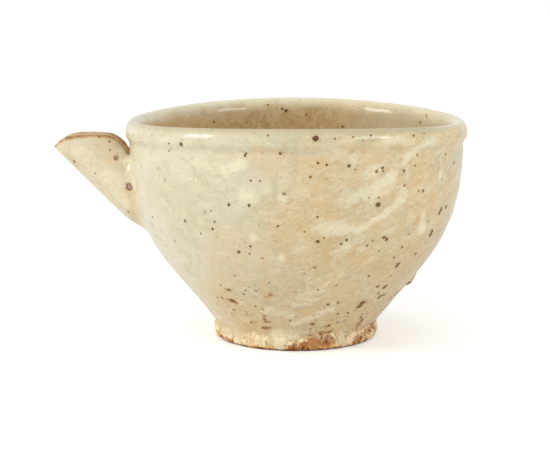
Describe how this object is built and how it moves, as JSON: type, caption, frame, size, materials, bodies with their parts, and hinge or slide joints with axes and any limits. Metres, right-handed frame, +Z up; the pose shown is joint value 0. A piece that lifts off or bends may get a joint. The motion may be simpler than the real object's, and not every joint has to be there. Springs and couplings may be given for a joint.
{
  "type": "katakuchi sake pourer",
  "caption": "Hand-thrown stoneware katakuchi: a round open bowl on a low foot ring, with a folded clay spout luted to its wall over a pouring hole, for serving sake.",
  "frame": {"origin": "centre of the foot ring's resting face, on the bowl's axis and on the table", "axes": "+Z up along the bowl's axis; -X towards the tip of the spout; +Y to the far side in the picture's view"},
  "size_m": [0.1512, 0.125, 0.083],
  "materials": {
    "glazed_stoneware": "satin ash glaze with iron specks",
    "bare_stoneware": "bare rust-brown clay with thin glaze runs",
    "run_glaze": "glossy"
  },
  "bodies": {
    "root": {"bowl": "glazed_stoneware", "foot_ring": "bare_stoneware", "spout": "glazed_stoneware", "spout_seam": "glazed_stoneware", "glaze_bead": "run_glaze"}
  },
  "joints": []
}
